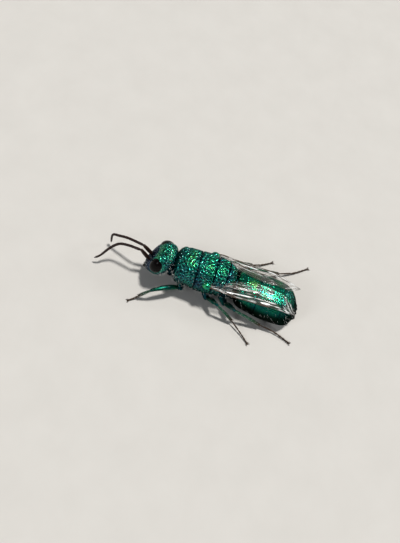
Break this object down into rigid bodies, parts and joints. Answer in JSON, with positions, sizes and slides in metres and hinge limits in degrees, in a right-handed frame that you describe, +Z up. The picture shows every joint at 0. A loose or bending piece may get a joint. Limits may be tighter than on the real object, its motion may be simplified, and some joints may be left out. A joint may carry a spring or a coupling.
{
  "type": "cuckoo wasp",
  "caption": "Life-size metallic green cuckoo wasp standing still on six feet, with wings folded flat over the abdomen and feelers reaching forward.",
  "frame": {"origin": "on the floor, under the centre of the whole animal's box", "axes": "+Z up, -Y the way the head points, +X the animal's own left side"},
  "size_m": [0.0086, 0.0168, 0.0035],
  "materials": {
    "green_cuticle": "pitted metallic emerald green, glossy",
    "blue_cuticle": "pitted metallic blue green, glossy",
    "eye": "dark brown, glossy, finely faceted",
    "horn": "dark brown, satin",
    "tarsus": "dark brown, dull",
    "wing": "clear smoky membrane with brown veins"
  },
  "bodies": {
    "root": {"head": "green_cuticle", "eye_left": "eye", "eye_right": "eye", "mandible_left": "horn", "mandible_right": "horn", "scape_left": "horn", "flagellum_left": "horn", "scape_right": "horn", "flagellum_right": "horn", "pronotum": "green_cuticle", "mesothorax": "green_cuticle", "scutellum": "green_cuticle", "propodeum": "blue_cuticle", "tergite_1": "green_cuticle", "tergite_2": "green_cuticle", "tergite_3": "green_cuticle", "tegula_left": "green_cuticle", "forewing_left": "wing", "hindwing_left": "wing", "tegula_right": "green_cuticle", "forewing_right": "wing", "hindwing_right": "wing", "coxa_front_left": "blue_cuticle", "femur_front_left": "green_cuticle", "tibia_front_left": "green_cuticle", "tarsus_front_left": "tarsus", "coxa_front_right": "blue_cuticle", "femur_front_right": "green_cuticle", "tibia_front_right": "green_cuticle", "tarsus_front_right": "tarsus", "coxa_middle_left": "blue_cuticle", "femur_middle_left": "green_cuticle", "tibia_middle_left": "green_cuticle", "tarsus_middle_left": "tarsus", "coxa_middle_right": "blue_cuticle", "femur_middle_right": "green_cuticle", "tibia_middle_right": "green_cuticle", "tarsus_middle_right": "tarsus", "coxa_hind_left": "blue_cuticle", "femur_hind_left": "green_cuticle", "tibia_hind_left": "green_cuticle", "tarsus_hind_left": "tarsus", "coxa_hind_right": "blue_cuticle", "femur_hind_right": "green_cuticle", "tibia_hind_right": "green_cuticle", "tarsus_hind_right": "tarsus"}
  },
  "joints": []
}
